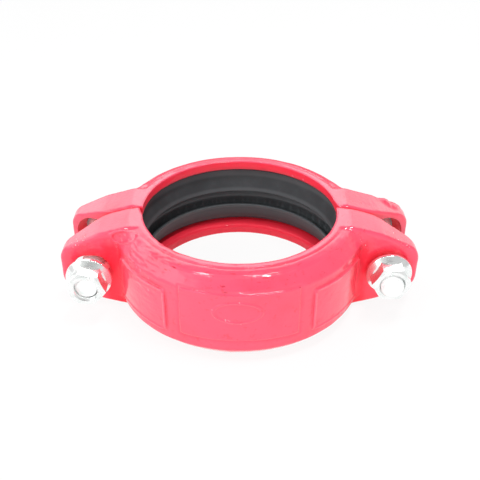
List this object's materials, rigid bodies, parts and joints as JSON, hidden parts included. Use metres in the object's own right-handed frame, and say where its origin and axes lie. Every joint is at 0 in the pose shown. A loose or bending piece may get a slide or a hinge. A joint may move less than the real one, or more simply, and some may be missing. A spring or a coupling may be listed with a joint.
{
  "type": "grooved pipe coupling",
  "caption": "Ring-shaped pipe coupling of two painted cast housings with ears, joined by bolts and flanged nuts round a black C-section rubber gasket that seals grooved pipe ends.",
  "frame": {"origin": "middle of the bore, on the pipe's axis, halfway between the housing's two flat rims", "axes": "+Z along the pipe's axis, upwards as it lies on a flat rim; +X across the ears, from one bolt to the other; the nuts are on the -Y side and the bolt heads on the +Y side"},
  "size_m": [0.1584, 0.1128, 0.0426],
  "materials": {
    "paint": "glossy red enamel over a ductile iron sand casting",
    "gasket_rubber": "matte black moulded rubber",
    "zinc": "bright zinc plate"
  },
  "bodies": {
    "rear_half": {"rear_housing": "paint", "gasket": "gasket_rubber", "left_bolt": "zinc", "right_bolt": "zinc"},
    "front_half": {"front_housing": "paint"},
    "left_nut_body": {"left_nut": "zinc"},
    "right_nut_body": {"right_nut": "zinc"}
  },
  "joints": [
    {"name": "housing_opening", "type": "slide", "parent": "rear_half", "child": "front_half", "axis": [0, -1, 0], "range_m": [0, 0.0045]},
    {"name": "left_nut_turn", "type": "hinge", "parent": "front_half", "child": "left_nut_body", "pos_m": [-0.0657, -0.029, 0], "axis": [0, -1, 0], "range_deg": [0, 1080]},
    {"name": "right_nut_turn", "type": "hinge", "parent": "front_half", "child": "right_nut_body", "pos_m": [0.0657, -0.0257, 0], "axis": [0, -1, 0], "range_deg": [0, 1080]}
  ],
  "couplings": [
    {"joint": "left_nut_turn", "follows": "housing_opening", "rad_per_m": 4188.8},
    {"joint": "right_nut_turn", "follows": "housing_opening", "rad_per_m": 4188.8}
  ]
}
